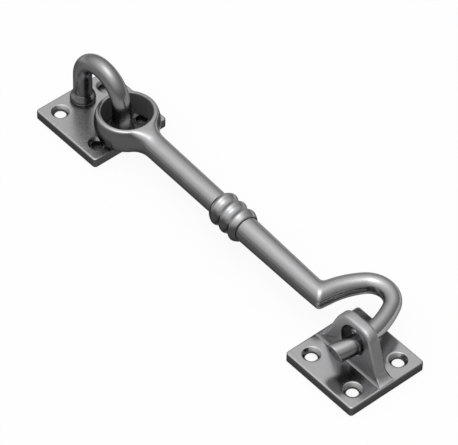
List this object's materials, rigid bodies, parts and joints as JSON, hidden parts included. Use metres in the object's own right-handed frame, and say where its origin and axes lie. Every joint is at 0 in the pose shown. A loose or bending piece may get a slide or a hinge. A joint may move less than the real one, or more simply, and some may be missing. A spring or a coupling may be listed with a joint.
{
  "type": "hook and eye latch",
  "caption": "Cabin hook: a loose arm with a ball-shaped eye on a staple plate, a beaded collar, and a bent hook whose tip passes through an upright eye on a second square plate.",
  "frame": {"origin": "centre of the staple plate on the mounting plane", "axes": "+X along the arm from the staple plate to the keep plate, +Y across the arm to the side where the hook bends, +Z out of the mounting plane"},
  "size_m": [0.1759, 0.0432, 0.0301],
  "materials": {
    "plate_metal": "satin, lightly polished cast metal",
    "bar_metal": "satin, lightly polished cast metal",
    "arm_metal": "satin, polished along the bar"
  },
  "bodies": {
    "staple_base": {"staple_plate": "plate_metal", "staple": "bar_metal"},
    "hook_arm": {"eye_shank": "arm_metal", "bead_collar": "arm_metal", "hook_shank": "arm_metal"},
    "keep": {"keep_plate": "plate_metal", "keep_eye": "bar_metal"}
  },
  "joints": [
    {"name": "arm_swing", "type": "hinge", "parent": "staple_base", "child": "hook_arm", "pos_m": [0.0114, 0, 0.0094], "axis": [0, 0, 1], "range_deg": [-3, 150]},
    {"name": "keep_release", "type": "slide", "parent": "staple_base", "child": "keep", "axis": [0, -1, 0], "range_m": [0, 0.04]}
  ]
}
